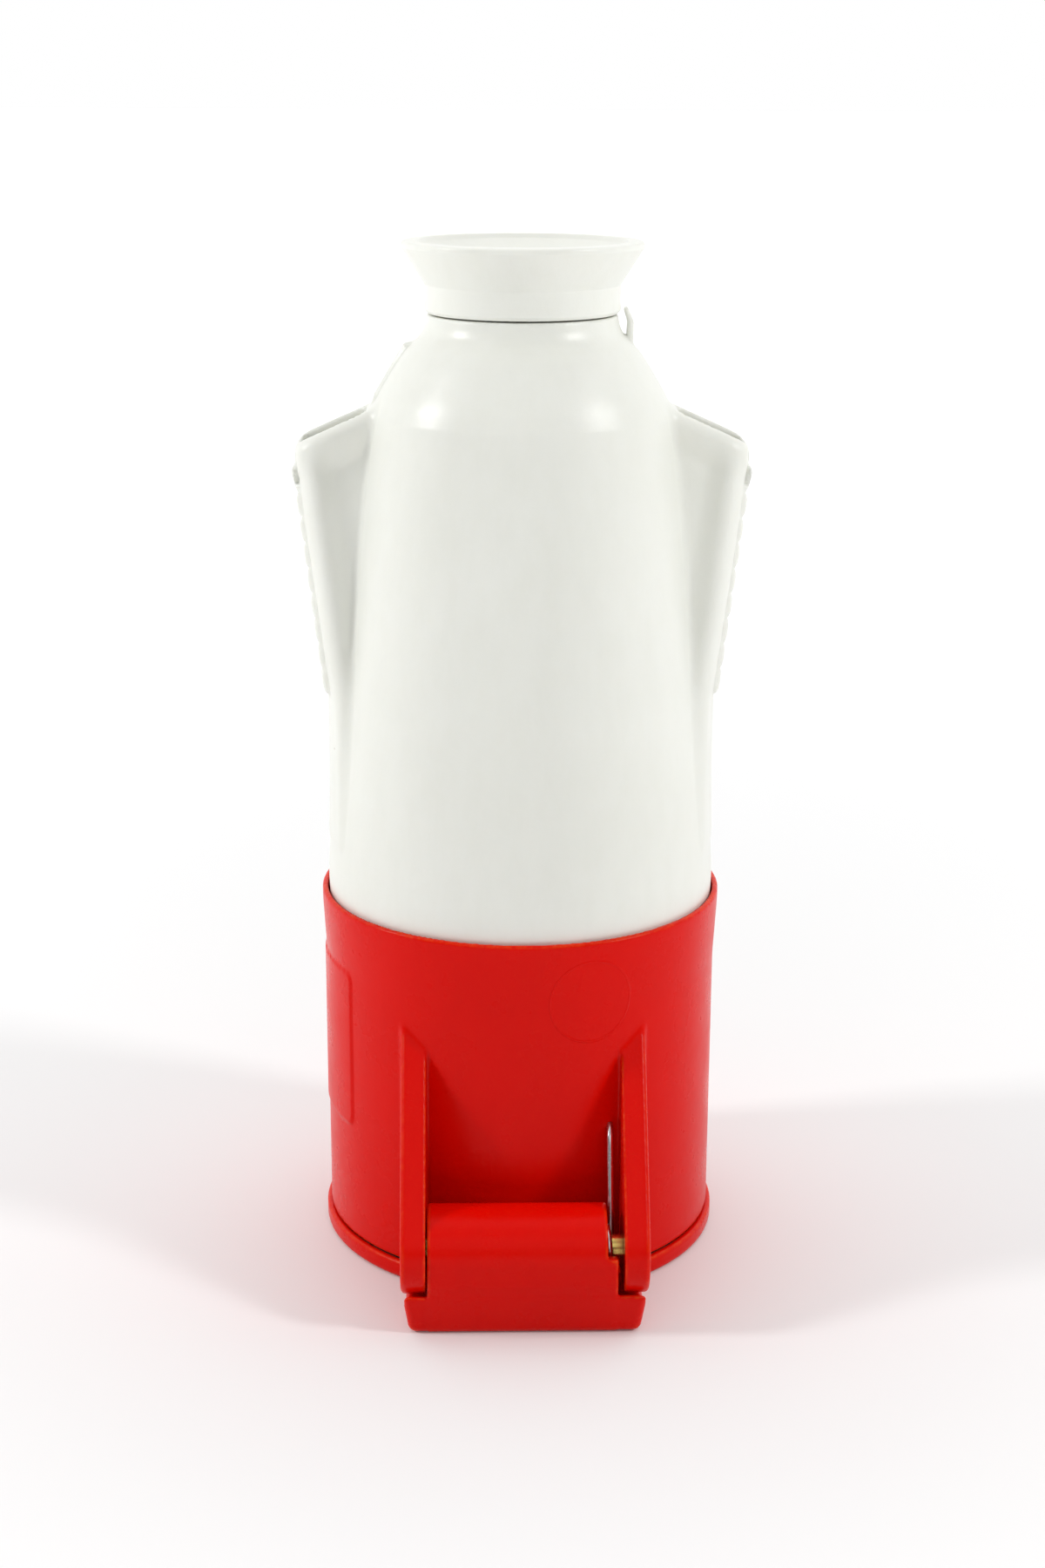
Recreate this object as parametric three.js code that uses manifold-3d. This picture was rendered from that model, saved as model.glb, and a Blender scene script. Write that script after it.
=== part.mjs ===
// Industrial five-pole cable connector with a spring-closed flap lid, standing on the closed lid.
// Millimetres, +Z up. The connector's axis is the Z axis, z = 0 is the outer face of the lid, and
// the lid's hinge is on the -Y side. The cable enters at the top, the plug from below.

import * as THREE from "three";
import { mergeVertices } from "three/addons/utils/BufferGeometryUtils.js";
import Module from "manifold-3d";

const wasm = await Module();
wasm.setup();

// ---------------------------------------------------------------- driving dimensions

const GAP = 0.3; // clearance between neighbouring pieces
const FINE = 40; // facets round the large turned parts
const COARSE = 14; // facets round the small turned parts

const LID = { radius: 36.8, top: 3.3, edge: 0.8 };
const SHROUD = { radius: 36, bottom: 3.6, top: 66.8, bore: 32.3, beadRadius: 36.6, beadFrom: 61 };
const SEAT = { bottom: 40, top: 44, radius: 25.4 }; // ledge in the shroud that carries the insert
const KEYWAY = { half: 3.8, from: 31, to: 34.2 };
const PANEL = { radius: 36.3, half: 18.6, bottom: 25.4, top: 55.1 }; // raised label panel
const JOINT = { bore: 34, from: 61.5, recess: 35.6 }; // where the handle enters the shroud
const BAYONET = { radius: 34.5, bottom: 51.6, top: 53.2, half: 4, places: [30, 150, 270], turn: 40 };

const GASKET = { inner: 31.3, outer: 35.2, bottom: 2, top: 3.3 };
const LEDGE = { half: 8, from: -25, to: -22.6, top: 6.4 }; // catches behind the mating plug
const TAB = { half: 7, from: 34, to: 41.5, bottom: 0.4, top: 3 }; // lifts the lid

const HINGE = { y: -44.2, z: 13.9, barrel: 7.6, nose: 7.9, relief: 8.7 };
const CHEEK = { inner: 17.2, outer: 21.6, top: 49.95, back: -28, floor: 6 };
const PIN = { radius: 2.1, half: 20.1 };
const LUG = { left: -16.9, right: 16.1, halfTop: 21.3, halfFoot: 20.2, front: -51, shelf: 7.6 };
const WIRE = { radius: 0.6, coil: 3.4, pitch: 1.28, sweep: 4 * 360 - 20, end: 15.3, tail: 6, leg: 22.2 };
const COIL_ROOM = { radius: 4.8, from: 9.2 }; // counterbore in the barrel for the spring's coil

const HANDLE = { wall: 2.5, spigot: 33.7, spigotFrom: 51, shoulder: 63.6, neck: 14.3, neckTop: 175.5 };
const WING = { top: 152.9, at: 30, slope: 0.456, foot: 76, half: 6.8, halfFoot: 14, round: 4.5, roundFoot: 1.6 };
const RIB = { count: 9, first: 104, pitch: 4.5, height: 0.9, half: 5, halfFoot: 8 };
const POCKET = { half: 4.1, halfFoot: 1.6, floor: 110 };
const NUT = { bottom: 170.7, top: 183, radius: 17.1, flareFrom: 175.6, mouth: 21.1, thread: 15.4 };
const THROAT = { radius: 10.2, z: 177.2 }; // narrowest part of the nut's funnel
const CAGE = { inner: 9.6, outer: 11.2, bottom: 166.8, top: 175.4, slitFrom: 169.5, slit: 1.4 };
const GROMMET = { inner: 5, mouth: 6.4, outer: 9.3, bottom: 166.8, top: 175 };
const THRUST_RING = { inner: 10.6, outer: 15, bottom: 175.8, top: 176.7 };

const INSERT = { radius: 25, front: 8, flange: 33, flangeTop: 48.3 };
const CONTACTS = [
  { name: "pe", angle: 90, sleeve: 4, bore: 3 },
  { name: "l1", angle: 162, sleeve: 3.5, bore: 2.5 },
  { name: "l2", angle: 234, sleeve: 3.5, bore: 2.5 },
  { name: "l3", angle: 306, sleeve: 3.5, bore: 2.5 },
  { name: "n", angle: 18, sleeve: 3.5, bore: 2.5 },
];
const PITCH_CIRCLE = 17;
const CORE = { radius: 4.3, circle: 17.7, hub: 4, from: 12 }; // hollows moulded in from the rear
const BARRIER = { half: 0.8, from: 5, to: 24, hub: 6.2, top: 58 };
const TERMINAL = { bottom: 48.6, top: 60, screwZ: 55, screw: 1.9, head: 2.8 };
const INSERT_SCREWS = { circle: 28.2, places: [30, 150, 270], radius: 1, head: 2.9, clear: 1.9 };

// ---------------------------------------------------------------- materials

const plastic = (color, roughness) =>
  new THREE.MeshStandardMaterial({ color, roughness, metalness: 0 });
const metal = (color, roughness) =>
  new THREE.MeshStandardMaterial({ color, roughness, metalness: 1 });

const WHITE = plastic(0xe6e7e0, 0.42);
const RED = plastic(0xc8260d, 0.4);
const BLACK = plastic(0x1c1c1e, 0.55);
const RUBBER = plastic(0x26262a, 0.85);
const NATURAL = plastic(0xd9d6c8, 0.5);
const BRASS = metal(0xc9a24b, 0.3);
const STEEL = metal(0xc9ccd0, 0.28);

// ---------------------------------------------------------------- solids

/** A closed three.js geometry as a manifold-3d solid. */
function solid(geometry) {
  const bare = geometry.index ? geometry.toNonIndexed() : geometry.clone();
  bare.deleteAttribute("normal");
  bare.deleteAttribute("uv");
  const merged = mergeVertices(bare, 1e-4);
  return new wasm.Manifold(
    new wasm.Mesh({
      numProp: 3,
      vertProperties: merged.attributes.position.array,
      triVerts: new Uint32Array(merged.index.array),
    }),
  );
}

/** The geometry of a solid. */
function geometryOf(body) {
  const mesh = body.getMesh();
  const at = new Float32Array(mesh.numVert * 3);
  for (let i = 0; i < mesh.numVert; i++) {
    at.set(mesh.vertProperties.subarray(i * mesh.numProp, i * mesh.numProp + 3), i * 3);
  }
  return new THREE.BufferGeometry()
    .setAttribute("position", new THREE.BufferAttribute(at, 3))
    .setIndex(new THREE.BufferAttribute(mesh.triVerts, 1));
}

const join = (first, ...rest) => rest.reduce((sum, next) => sum.add(next), first);
const cut = (body, ...tools) => tools.reduce((left, tool) => left.subtract(tool), body);

/** A profile of [radius, z] points turned about the Z axis. */
function turned(profile, facets = FINE) {
  const points = profile.map(([r, z]) => new THREE.Vector2(r, z));
  if (THREE.ShapeUtils.area(points) < 0) points.reverse();
  const open = points[0].x > 0 || points[points.length - 1].x > 0;
  if (open) points.push(points[0].clone());
  return solid(new THREE.LatheGeometry(points, facets).rotateX(Math.PI / 2));
}

/** A closed profile from the axis out: a plain disc or rod between two heights. */
const rod = (radius, from, to, facets = COARSE) =>
  turned([[0, from], [radius, from], [radius, to], [0, to]], facets);

/** A tube between two heights. */
const tube = (inner, outer, from, to, facets = FINE) =>
  turned([[inner, from], [outer, from], [outer, to], [inner, to]], facets);

/** Points on an arc, angles in degrees. */
function arc(centre, radius, from, to, steps) {
  return Array.from({ length: steps + 1 }, (_, i) => {
    const angle = THREE.MathUtils.degToRad(from + ((to - from) * i) / steps);
    return [centre[0] + radius * Math.cos(angle), centre[1] + radius * Math.sin(angle)];
  });
}

/** An outline swept straight along one axis. The outline's own axes are given in order. */
function swept(outline, from, to, basis) {
  const shape = new THREE.Shape(outline.map(([a, b]) => new THREE.Vector2(a, b)));
  const geometry = new THREE.ExtrudeGeometry(shape, { depth: to - from, bevelEnabled: false });
  geometry.translate(0, 0, from);
  return geometry.applyMatrix4(new THREE.Matrix4().makeBasis(...basis));
}

const X = new THREE.Vector3(1, 0, 0);
const Y = new THREE.Vector3(0, 1, 0);
const Z = new THREE.Vector3(0, 0, 1);

/** [y, z] outline swept along X. */
const alongX = (outline, from, to) => solid(swept(outline, from, to, [Y, Z, X]));
/** [x, z] outline swept along Y. */
const alongY = (outline, from, to) => solid(swept(outline, -to, -from, [X, Z, Y.clone().negate()]));

const block = (x, y, z) =>
  solid(
    new THREE.BoxGeometry(x[1] - x[0], y[1] - y[0], z[1] - z[0]).translate(
      (x[0] + x[1]) / 2,
      (y[0] + y[1]) / 2,
      (z[0] + z[1]) / 2,
    ),
  );

/** A rod along X at the hinge axis. */
const hingeRod = (radius, from, to, facets = 24) =>
  solid(
    new THREE.CylinderGeometry(radius, radius, to - from, facets)
      .rotateZ(Math.PI / 2)
      .translate((from + to) / 2, HINGE.y, HINGE.z),
  );

const spun = (body, degrees) => body.rotate([0, 0, degrees]);

// ---------------------------------------------------------------- the assembly

const connector = new THREE.Group();
connector.name = "cable_connector";

function place(name, body, material) {
  const mesh = new THREE.Mesh(geometryOf(body), material);
  mesh.name = name;
  connector.add(mesh);
}

// ---------------------------------------------------------------- handle housing

/** Outer outline of the barrel, shoulder and neck, from the shroud's lip up. */
const SKIN = [
  [35.2, HANDLE.shoulder], [35.3, 72], [32.7, 102], [29.2, 134], [27.1, 149], [26.5, 153.2],
  [25.6, 155.6], [20.5, 164.2], [19.2, 165.3], [17.6, 167], [16.9, 168.7], [16.7, NUT.bottom - GAP],
];

/** Outer edge of a wing: straight up, leaning out where its grip ribs stand, with a thick top. */
const wingEdge = (z) =>
  34.9 + Math.max(0, z - RIB.first) * 0.12 + 0.6 * THREE.MathUtils.clamp((z - 142) / 4, 0, 1);

/** Height of a wing's sloping top at a distance from the axis. */
const wingTop = (x) => WING.top - (x - WING.at) * WING.slope;

/** How far up a wing a height is, from 0 at its foot to 1 at the inner end of its top. */
const upWing = (z) => THREE.MathUtils.clamp((z - WING.foot) / (WING.top - WING.foot), 0, 1);

/** Half the thickness of a wing: as broad as a fold in the barrel's side, then a slim blade. */
const wingHalf = (z) => WING.halfFoot - (WING.halfFoot - WING.half) * upWing(z) ** 1.7;

/** Section of a wing at a height, from its root in the barrel round its outer edge and back. */
function wingSection(z) {
  const edge = wingEdge(z);
  const half = wingHalf(z);
  const round = THREE.MathUtils.lerp(WING.roundFoot, WING.round, upWing(z));
  const centre = [Math.sqrt((edge - round) ** 2 - (half - round) ** 2), half - round];
  const lean = THREE.MathUtils.radToDeg(Math.atan2(centre[1], centre[0]));
  const bend = arc(centre, round, 90, lean, 4);
  const rim = arc([0, 0], edge, lean, 0, 3).slice(1);
  const front = [[21, half - 1], [(centre[0] + 24) / 2 + 2, half - 1.3 * upWing(z)], ...bend, ...rim];
  const back = front.slice(0, -1).reverse().map(([x, y]) => [x, -y]);
  return [...front, ...back].reverse().map(([x, y]) => [x, y, z]);
}

/** A solid through anticlockwise sections that have the same number of points, from the lowest up. */
function lofted(sections) {
  const count = sections[0].length;
  const top = sections.length - 1;
  const sides = sections.slice(1).flatMap((_, level) =>
    sections[0].flatMap((_, i) => {
      const a = level * count + i;
      const b = level * count + ((i + 1) % count);
      return [a, b, b + count, a, b + count, a + count];
    }),
  );
  const outline = sections[0].map(([x, y]) => new THREE.Vector2(x, y));
  const floor = THREE.ShapeUtils.triangulateShape(outline, []).map((face) => {
    const upward = THREE.ShapeUtils.area(face.map((i) => outline[i])) > 0;
    return upward ? [...face].reverse() : face;
  });
  const roof = floor.map((face) => face.map((i) => top * count + i).reverse());
  const geometry = new THREE.BufferGeometry();
  geometry.setAttribute("position", new THREE.Float32BufferAttribute(sections.flat(2), 3));
  geometry.setIndex([sides, floor, roof].flat(2));
  return solid(geometry);
}

/** Thins a wing-shaped solid from its foot to its top. */
function thinned(geometry, halfTop, halfFoot) {
  const at = geometry.attributes.position;
  for (let i = 0; i < at.count; i++) {
    at.setY(i, Math.sign(at.getY(i)) * THREE.MathUtils.lerp(halfFoot, halfTop, upWing(at.getZ(i))));
  }
  return solid(geometry);
}

const XZY = [X, Z, Y.clone().negate()];

/** The scalloped grip on a wing's outer edge. */
function wingGrip() {
  const scallops = Array.from({ length: RIB.count * 4 + 1 }, (_, i) => {
    const z = RIB.first + (i * RIB.pitch) / 4;
    return [wingEdge(z) + RIB.height * Math.abs(Math.sin((Math.PI * i) / 4)), z];
  });
  const end = RIB.first + RIB.count * RIB.pitch;
  const outline = [[32, RIB.first], ...scallops, [32, end]];
  const bars = thinned(swept(outline, -1, 1, XZY), RIB.half, RIB.halfFoot);
  const limit = [[0, 100], [wingEdge(100) + RIB.height, 100], [wingEdge(150) + RIB.height, 150], [0, 150]];
  return bars.intersect(turned(limit, FINE * 2));
}

function wing() {
  const levels = [WING.foot, 84, 92, 98, RIB.first, 111, 118, 125, 132, 139, 146, 153, 158];
  const crown = arc([38, wingTop(40) - 1.8], 2.7, 0, 66, 4);
  const side = [[20, 70], [44, 70], [44, 140], ...crown, [20, wingTop(20)]];
  return join(lofted(levels.map(wingSection)).intersect(alongY(side, -20, 20)), wingGrip());
}

/** The moulding core's pocket in a wing, open at the sloping top. */
function wingPocket() {
  const outer = (z) => [wingEdge(z) - 1.8, z];
  const inner = [[27.4, 158], [27.4, 149], [29.5, 130], [32.3, POCKET.floor]];
  const outline = [outer(POCKET.floor), outer(148), [outer(148)[0], 156], ...inner];
  return thinned(swept(outline, -1, 1, XZY), POCKET.half, POCKET.halfFoot);
}

/** The springy tongue beside the neck that stops the nut from working loose. */
function nutLock() {
  const outer = [[19.9, 163], [19.3, 166], [19.4, 169.2], [18.2, 171.9]];
  const inner = [[17.8, 171.7], [17.7, 171], [18.3, 169.2], [18.2, 166.4], [17.8, 163]];
  return alongY([...outer, ...inner], -2, 2);
}

/** Short ribs round a cylinder, for the two halves of the bayonet joint. */
function bayonetRibs(inner, outer, half, from, to, turn) {
  const ring = tube(inner, outer, from, to);
  const window = block([0, outer + 1], [-half, half], [from - 1, to + 1]);
  const [first, ...rest] = BAYONET.places.map((angle) => ring.intersect(spun(window, angle + turn)));
  return join(first, ...rest);
}

function handleHousing() {
  const outer = turned([
    [0, HANDLE.spigotFrom], [HANDLE.spigot, HANDLE.spigotFrom], [HANDLE.spigot, HANDLE.shoulder],
    ...SKIN, [HANDLE.neck, NUT.bottom - GAP], [HANDLE.neck, HANDLE.neckTop], [0, HANDLE.neckTop],
  ]);
  const bore = HANDLE.spigot - HANDLE.wall;
  const cavity = turned([
    [0, HANDLE.spigotFrom - 1], [bore, HANDLE.spigotFrom - 1], [bore, HANDLE.shoulder + 2],
    [32.7, 72], [30.2, 102], [26.7, 134], [24.6, 149], [23.4, 154.5], [18.6, 162.6], [16, 164],
    [9.8, 164.6], [9.8, 166.5], [11.5, 166.5], [11.5, HANDLE.neckTop + 1], [0, HANDLE.neckTop + 1],
  ]);
  const lugs = bayonetRibs(33, BAYONET.radius, BAYONET.half, BAYONET.bottom, BAYONET.top, 0);
  const right = wing();
  const pocket = wingPocket();
  const skin = join(outer, right, spun(right, 180), nutLock(), lugs);
  return cut(skin, pocket, spun(pocket, 180), cavity);
}

place("handle_housing", handleHousing(), WHITE);
place("housing_seal_ring", tube(34.2, 35.2, JOINT.from + GAP, HANDLE.shoulder - GAP), RUBBER);

// ---------------------------------------------------------------- cable gland

function glandNut() {
  const outside = [
    [NUT.thread, NUT.bottom], [NUT.radius - 0.6, NUT.bottom], [NUT.radius, NUT.bottom + 0.6],
    [NUT.radius, NUT.flareFrom], [NUT.mouth, NUT.top - 0.9], [NUT.mouth - 0.9, NUT.top],
  ];
  const funnel = [[18.2, NUT.top], [17.4, 182.3], [12.2, 179], [THROAT.radius, THROAT.z]];
  const inside = [[THROAT.radius, THROAT.z - 0.2], [NUT.thread, THROAT.z - 0.2]];
  return turned([...outside, ...funnel, ...inside]);
}

/** A slit sleeve that the nut presses in round the grommet. */
function clampCage() {
  const body = tube(CAGE.inner, CAGE.outer, CAGE.bottom, CAGE.top);
  const across = [-CAGE.outer - 1, CAGE.outer + 1];
  const slit = block(across, [-CAGE.slit / 2, CAGE.slit / 2], [CAGE.slitFrom, CAGE.top + 1]);
  return cut(body, slit, spun(slit, 60), spun(slit, 120));
}

function grommet() {
  const { inner, mouth, outer, bottom, top } = GROMMET;
  return turned([[inner, bottom], [outer, bottom], [outer, top], [mouth, top], [inner, top - 2]]);
}

function thrustRing() {
  const { inner, outer, bottom, top } = THRUST_RING;
  return tube(inner, outer, bottom, top);
}

place("gland_nut", glandNut(), WHITE);
place("gland_thrust_ring", thrustRing(), NATURAL);
place("gland_clamp_cage", clampCage(), NATURAL);
place("gland_grommet", grommet(), RUBBER);

// ---------------------------------------------------------------- socket shroud

/** Side view of a hinge cheek: a slope off the shroud into a round nose about the hinge pin. */
function cheekOutline() {
  const reach = [CHEEK.back - HINGE.y, CHEEK.top - HINGE.z];
  const distance = Math.hypot(...reach);
  const away = Math.atan2(reach[1], reach[0]) + Math.acos(HINGE.nose / distance);
  const nose = arc([HINGE.y, HINGE.z], HINGE.nose, THREE.MathUtils.radToDeg(away), 270, 12);
  return [[CHEEK.back, CHEEK.top], ...nose, [CHEEK.back, CHEEK.floor]];
}

/** The raised panel on the -X side, part of a ring wrapped on the shroud. */
function labelPanel() {
  const ring = tube(SHROUD.radius - 1, PANEL.radius, PANEL.bottom, PANEL.top);
  return ring.intersect(block([-PANEL.radius - 1, 0], [-PANEL.half, PANEL.half], [0, SHROUD.top]));
}

/** One copy of a solid at each screw that holds the insert. */
const atInsertScrews = (body) =>
  INSERT_SCREWS.places.map((angle) => spun(body.translate([INSERT_SCREWS.circle, 0, 0]), angle));

function socketShroud() {
  const shell = turned([
    [SHROUD.bore, SHROUD.bottom], [SHROUD.radius, SHROUD.bottom], [SHROUD.radius, SHROUD.beadFrom],
    [SHROUD.beadRadius, SHROUD.beadFrom + 1.2], [SHROUD.beadRadius, SHROUD.top - 0.6],
    [SHROUD.beadRadius - 0.4, SHROUD.top], [JOINT.recess, SHROUD.top], [JOINT.recess, JOINT.from],
    [JOINT.bore, JOINT.from], [JOINT.bore, SEAT.top], [SEAT.radius, SEAT.top],
    [SEAT.radius, SEAT.bottom], [SHROUD.bore, SEAT.bottom],
  ]);
  const cheek = alongX(cheekOutline(), CHEEK.inner, CHEEK.outer);
  const bothCheeks = cut(join(cheek, cheek.mirror([1, 0, 0])), rod(JOINT.bore, 0, SHROUD.top, FINE));
  const pinHoles = hingeRod(PIN.radius + 0.2, -PIN.half - 0.2, PIN.half + 0.2);
  const keyway = block([-KEYWAY.half, KEYWAY.half], [KEYWAY.from, KEYWAY.to], [0, SEAT.bottom]);
  const way = { inner: JOINT.bore - 1, outer: BAYONET.radius + 0.4, bottom: BAYONET.bottom - GAP };
  const lugHalf = BAYONET.half + 0.5;
  const entries = bayonetRibs(way.inner, way.outer, lugHalf, way.bottom, JOINT.from + 1, BAYONET.turn);
  const track = tube(way.inner, way.outer, way.bottom, BAYONET.top + GAP);
  const pilots = atInsertScrews(rod(INSERT_SCREWS.radius + GAP, 41, 46));
  const body = join(shell, bothCheeks, labelPanel());
  return cut(body, pinHoles, keyway, entries, track, ...pilots);
}

place("socket_shroud", socketShroud(), RED);

// ---------------------------------------------------------------- contact insert

function contactInsert() {
  const body = turned([
    [0, INSERT.front], [INSERT.radius - 0.8, INSERT.front], [INSERT.radius, INSERT.front + 0.8],
    [INSERT.radius, SEAT.top + GAP], [INSERT.flange, SEAT.top + GAP],
    [INSERT.flange, INSERT.flangeTop], [0, INSERT.flangeTop],
  ]);
  const wall = block([BARRIER.from, BARRIER.to], [-BARRIER.half, BARRIER.half], [47, BARRIER.top]);
  const barriers = CONTACTS.map(({ angle }) => spun(wall, angle + 36));
  const chambers = CONTACTS.flatMap(({ angle, sleeve, bore }) => {
    const centre = ([r, from, to]) => spun(rod(r, from, to).translate([PITCH_CIRCLE, 0, 0]), angle);
    return [[bore + 0.4, 7, 12], [sleeve + 1.1, 10.6, 50]].map(centre);
  });
  const screwHoles = atInsertScrews(rod(INSERT_SCREWS.clear, 43, 50));
  const core = rod(CORE.radius, CORE.from, 50).translate([CORE.circle, 0, 0]);
  const cored = cut(body, ...CONTACTS.map(({ angle }) => spun(core, angle + 36)));
  const hub = rod(BARRIER.hub, 47, BARRIER.top);
  const hubCore = rod(CORE.hub, CORE.from, BARRIER.top + 1);
  return cut(join(cored, hub, ...barriers), hubCore, ...chambers, ...screwHoles);
}

/** A slit brass sleeve with a solid terminal block behind it. */
function contactSleeve({ angle, sleeve, bore }) {
  const blockRadius = sleeve + 1.7;
  const body = turned([
    [bore, 11], [sleeve - 0.3, 11], [sleeve, 11.5], [sleeve, TERMINAL.bottom],
    [blockRadius, TERMINAL.bottom], [blockRadius, TERMINAL.top], [2.3, TERMINAL.top], [2.3, 51],
    [0, 51], [0, 46], [bore, 46],
  ], COARSE);
  const slit = block([-8, 8], [-0.4, 0.4], [10, 30]);
  const screwHole = solid(
    new THREE.CylinderGeometry(TERMINAL.screw + GAP, TERMINAL.screw + GAP, 8, COARSE)
      .rotateZ(Math.PI / 2)
      .translate(4, 0, TERMINAL.screwZ),
  );
  return spun(cut(body, slit, screwHole).translate([PITCH_CIRCLE, 0, 0]), angle);
}

/** The steel clip ring that keeps a sleeve's fingers closed. */
function clipRing({ angle, sleeve }) {
  const ring = tube(sleeve + GAP, sleeve + 0.8, 13, 17, COARSE);
  return spun(cut(ring, block([0, 8], [-0.6, 0.6], [12, 18])).translate([PITCH_CIRCLE, 0, 0]), angle);
}

/** A slotted clamping screw, its axis pointing away from the connector's axis. */
function terminalScrew({ angle, sleeve }) {
  const seat = sleeve + 1.7;
  const body = turned([
    [0, 0.4], [TERMINAL.screw, 0.4], [TERMINAL.screw, seat + 0.4], [TERMINAL.head, seat + 0.4],
    [TERMINAL.head, seat + 1.6], [TERMINAL.head - 0.4, seat + 2], [0, seat + 2],
  ], COARSE);
  const slot = block([-0.4, 0.4], [-4, 4], [seat + 1.2, seat + 3]);
  const lying = cut(body, slot).rotate([0, 90, 0]);
  return spun(lying.translate([PITCH_CIRCLE, 0, TERMINAL.screwZ]), angle);
}

place("contact_insert", contactInsert(), BLACK);
CONTACTS.forEach((contact) => {
  place(`contact_sleeve_${contact.name}`, contactSleeve(contact), BRASS);
  place(`contact_clip_${contact.name}`, clipRing(contact), STEEL);
  place(`terminal_screw_${contact.name}`, terminalScrew(contact), STEEL);
});

/** A slotted screw that holds the insert's flange on the shroud's ledge. */
function insertScrew() {
  const { radius, head } = INSERT_SCREWS;
  const seat = INSERT.flangeTop + GAP;
  const body = turned([
    [0, 41.6], [radius, 42.4], [radius, seat], [head, seat], [head, seat + 0.9], [head - 0.6, seat + 1.6],
    [0, seat + 1.8],
  ], COARSE);
  return cut(body, block([-4, 4], [-0.4, 0.4], [seat + 1, seat + 3]));
}

atInsertScrews(insertScrew()).forEach((screw, index) => {
  place(`insert_screw_${index + 1}`, screw, STEEL);
});

// ---------------------------------------------------------------- lid and hinge

const LID_FRONT = [[-48.6, 0], [-49.5, 0.8], [-51.6, 10]];

/** Side view of the hinge lug between the cheeks: a foot rising into a barrel about the pin. */
function barrelOutline() {
  const round = arc([HINGE.y, HINGE.z], HINGE.barrel, 190, 10, 16);
  return [[-30, 0], ...LID_FRONT, ...round, [-36.7, 12], [-36.7, LID.top], [-30, LID.top]];
}

/** Side view of the foot under the cheeks, hollowed clear of their round noses. */
function footOutline() {
  const from = 270 - THREE.MathUtils.radToDeg(Math.acos((HINGE.z - LUG.shelf) / HINGE.relief));
  const hollow = arc([HINGE.y, HINGE.z], HINGE.relief, from, 270, 5);
  const front = [...LID_FRONT.slice(0, 2), [LUG.front, LUG.shelf]];
  const rear = [[-37.2, HINGE.z - HINGE.relief], [-36.9, LID.top], [-28, LID.top]];
  return [[-28, 0], ...front, ...hollow, ...rear];
}

/** The foot, narrowing a little towards the face that the connector stands on. */
function lidFoot() {
  const geometry = swept(footOutline(), -1, 1, [Y, Z, X]);
  const at = geometry.attributes.position;
  for (let i = 0; i < at.count; i++) {
    const up = THREE.MathUtils.clamp(at.getZ(i) / LUG.shelf, 0, 1);
    at.setX(i, Math.sign(at.getX(i)) * THREE.MathUtils.lerp(LUG.halfFoot, LUG.halfTop, up));
  }
  return solid(geometry);
}

function hingeLid() {
  const disc = turned([
    [0, 0], [LID.radius - LID.edge, 0], [LID.radius, LID.edge], [LID.radius, LID.top], [0, LID.top],
  ]);
  const groove = tube(GASKET.inner - GAP, GASKET.outer + GAP, GASKET.bottom - GAP, LID.top + 1);
  const ledge = block([-LEDGE.half, LEDGE.half], [LEDGE.from, LEDGE.to], [1, LEDGE.top]);
  const thumbTab = block([-TAB.half, TAB.half], [TAB.from, TAB.to], [TAB.bottom, TAB.top]);
  const barrel = alongX(barrelOutline(), LUG.left, LUG.right);
  const bore = hingeRod(PIN.radius + 0.3, LUG.left - 1, LUG.right + 1);
  const springRoom = hingeRod(COIL_ROOM.radius, COIL_ROOM.from, LUG.right + 1);
  const legSlot = alongX(
    [aboutHinge(0, 0), aboutHinge(4.4, -20), aboutHinge(15, 53), aboutHinge(20, 120), aboutHinge(15, 172)],
    WIRE.end - 1,
    LUG.right + 1,
  );
  const tailX = WIRE.end - (WIRE.pitch * WIRE.sweep) / 360;
  const tailY = HINGE.y + WIRE.coil;
  const tailSlot = block([tailX - 1, tailX + 1], [tailY - 1, tailY + 1], [HINGE.z - WIRE.tail - 1, HINGE.z]);
  const body = join(disc, barrel, lidFoot(), ledge, thumbTab);
  return cut(body, groove, bore, springRoom, legSlot, tailSlot);
}

/** A point at a distance and an angle about the hinge pin, seen from +X with 0 at the rear. */
function aboutHinge(distance, degrees) {
  const angle = THREE.MathUtils.degToRad(degrees);
  return [HINGE.y + distance * Math.cos(angle), HINGE.z + distance * Math.sin(angle)];
}

/** The torsion spring: a tail down into the lid, a coil on the pin and a leg up the shroud. */
class SpringPath extends THREE.Curve {
  getPoint(share, target = new THREE.Vector3()) {
    const coil = THREE.MathUtils.degToRad(WIRE.sweep) * WIRE.coil;
    const s = share * (WIRE.tail + coil + WIRE.leg) - WIRE.tail;
    const turn = THREE.MathUtils.clamp(s / coil, 0, 1);
    const degrees = WIRE.sweep * turn;
    const [y, z] = aboutHinge(WIRE.coil, degrees);
    const straight = s - turn * coil;
    const heading = THREE.MathUtils.degToRad(degrees + 90);
    const x = WIRE.end - WIRE.pitch * (WIRE.sweep / 360) * (1 - turn);
    return target.set(x, y + straight * Math.cos(heading), z + straight * Math.sin(heading));
  }
}

function hingeSpring() {
  const section = new THREE.Shape();
  section.absarc(0, 0, WIRE.radius, 0, 2 * Math.PI);
  const options = { extrudePath: new SpringPath(), steps: 72, curveSegments: 3, bevelEnabled: false };
  return solid(new THREE.ExtrudeGeometry(section, options));
}

place("hinge_lid", hingeLid(), RED);
place("lid_gasket", tube(GASKET.inner, GASKET.outer, GASKET.bottom, GASKET.top), RUBBER);
place("hinge_pin", hingeRod(PIN.radius, -PIN.half, PIN.half), BRASS);
place("hinge_spring", hingeSpring(), STEEL);

export default connector;
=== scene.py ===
"""Visual model of a five-pole cable connector standing on its closed flap lid.

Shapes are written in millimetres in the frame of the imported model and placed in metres.
Moulded pieces are signed distance fields meshed with surface nets; turned pieces are lathed.
"""

import math

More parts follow.
